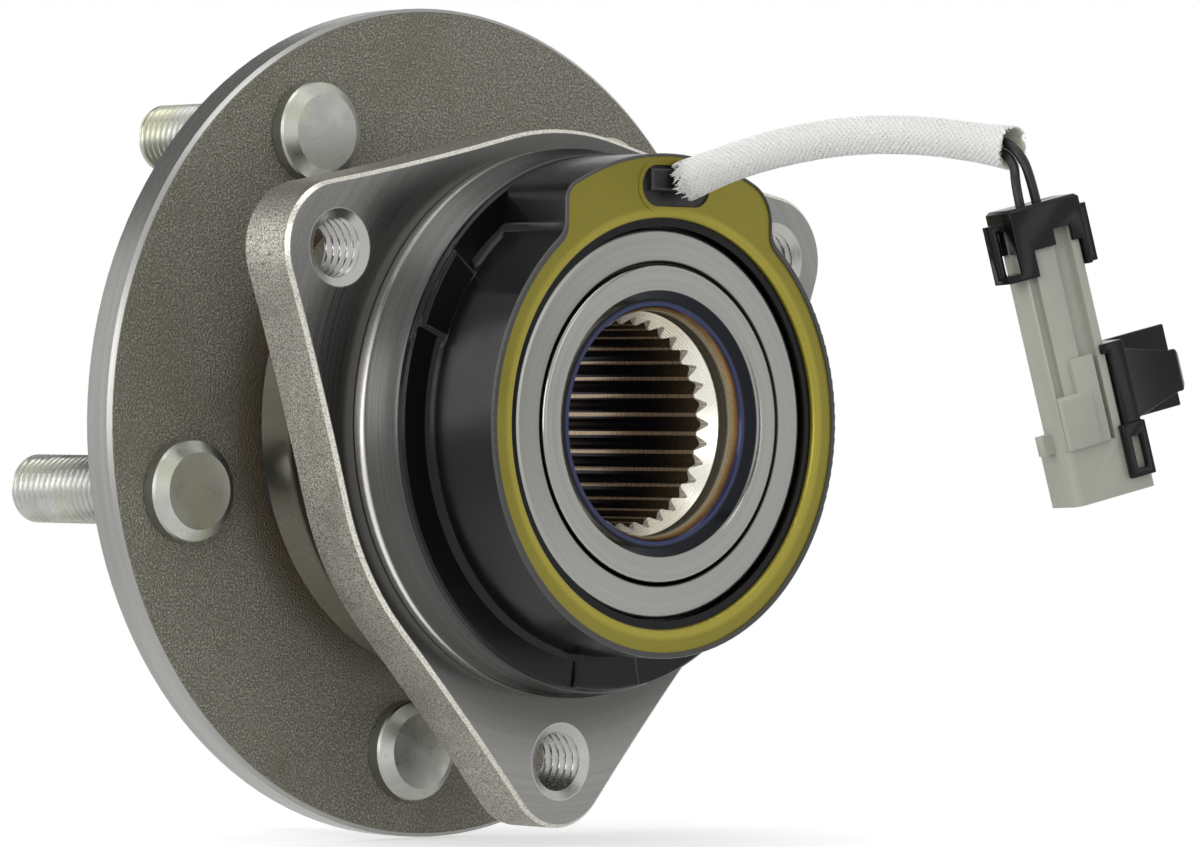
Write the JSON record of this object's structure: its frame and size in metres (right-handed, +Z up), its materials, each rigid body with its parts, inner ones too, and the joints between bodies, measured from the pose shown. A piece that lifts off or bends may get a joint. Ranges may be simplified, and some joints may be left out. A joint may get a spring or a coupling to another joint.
{
  "type": "wheel hub bearing",
  "caption": "Driven wheel hub unit: studded flange and splined spindle on two ball rows in a three-lug fixed ring, with a sensor cap and plug lead",
  "frame": {"origin": "on the spin axis, in the plane of the fixed ring's knuckle face, which is the mount knuckle_bolts", "axes": "+Y is outboard along the spin axis, towards the wheel; -Y is inboard, towards the knuckle and the sensor lead; +Z is up, through the lead's exit"},
  "size_m": [0.145, 0.1842, 0.145],
  "materials": {
    "turned_steel": "forged and turned carbon steel",
    "ground_steel": "ground bearing steel",
    "polished_steel": "lapped bearing balls",
    "zinc_plate": "zinc plated",
    "cage_polymer": "glass filled nylon",
    "seal_rubber": "moulded nitrile rubber",
    "black_coat": "gloss black coated stamping",
    "yellow_plate": "olive yellow chromate plated",
    "braid": "white braided sleeve",
    "wire_jacket": "black insulated wire",
    "grey_polymer": "moulded light grey nylon",
    "black_polymer": "moulded black nylon",
    "tinned_pin": "tin plated"
  },
  "bodies": {
    "fixed_ring": {"outer_ring": "turned_steel", "outboard_seal_case": "ground_steel", "outboard_seal_lip": "seal_rubber", "sensor_cap": "black_coat", "sensor_cover": "yellow_plate", "sensor_coil": "cage_polymer", "sensor_pole_ring": "turned_steel", "inboard_seal": "seal_rubber", "wire_grommet": "seal_rubber", "cable_sleeve": "braid", "wire_a": "wire_jacket", "wire_b": "wire_jacket", "connector_body": "grey_polymer", "connector_rear_lock": "black_polymer", "connector_mount_clip": "black_polymer", "terminal_pins": "tinned_pin", "wire_seals": "seal_rubber"},
    "hub": {"hub_spindle": "turned_steel", "wheel_studs": "zinc_plate", "inner_ring": "ground_steel", "tone_ring": "turned_steel"},
    "outboard_row": {"outboard_balls": "polished_steel", "outboard_cage": "cage_polymer"},
    "inboard_row": {"inboard_balls": "polished_steel", "inboard_cage": "cage_polymer"}
  },
  "joints": [
    {"name": "hub_spin", "type": "hinge", "parent": "fixed_ring", "child": "hub", "pos_m": [0, 0.008, 0], "axis": [0, 1, 0], "continuous": true},
    {"name": "outboard_row_spin", "type": "hinge", "parent": "fixed_ring", "child": "outboard_row", "pos_m": [0, 0.017, 0], "axis": [0, 1, 0], "continuous": true},
    {"name": "inboard_row_spin", "type": "hinge", "parent": "fixed_ring", "child": "inboard_row", "pos_m": [0, -0.001, 0], "axis": [0, 1, 0], "continuous": true}
  ],
  "couplings": [
    {"joint": "outboard_row_spin", "follows": "hub_spin", "ratio": 0.425},
    {"joint": "inboard_row_spin", "follows": "hub_spin", "ratio": 0.425}
  ]
}
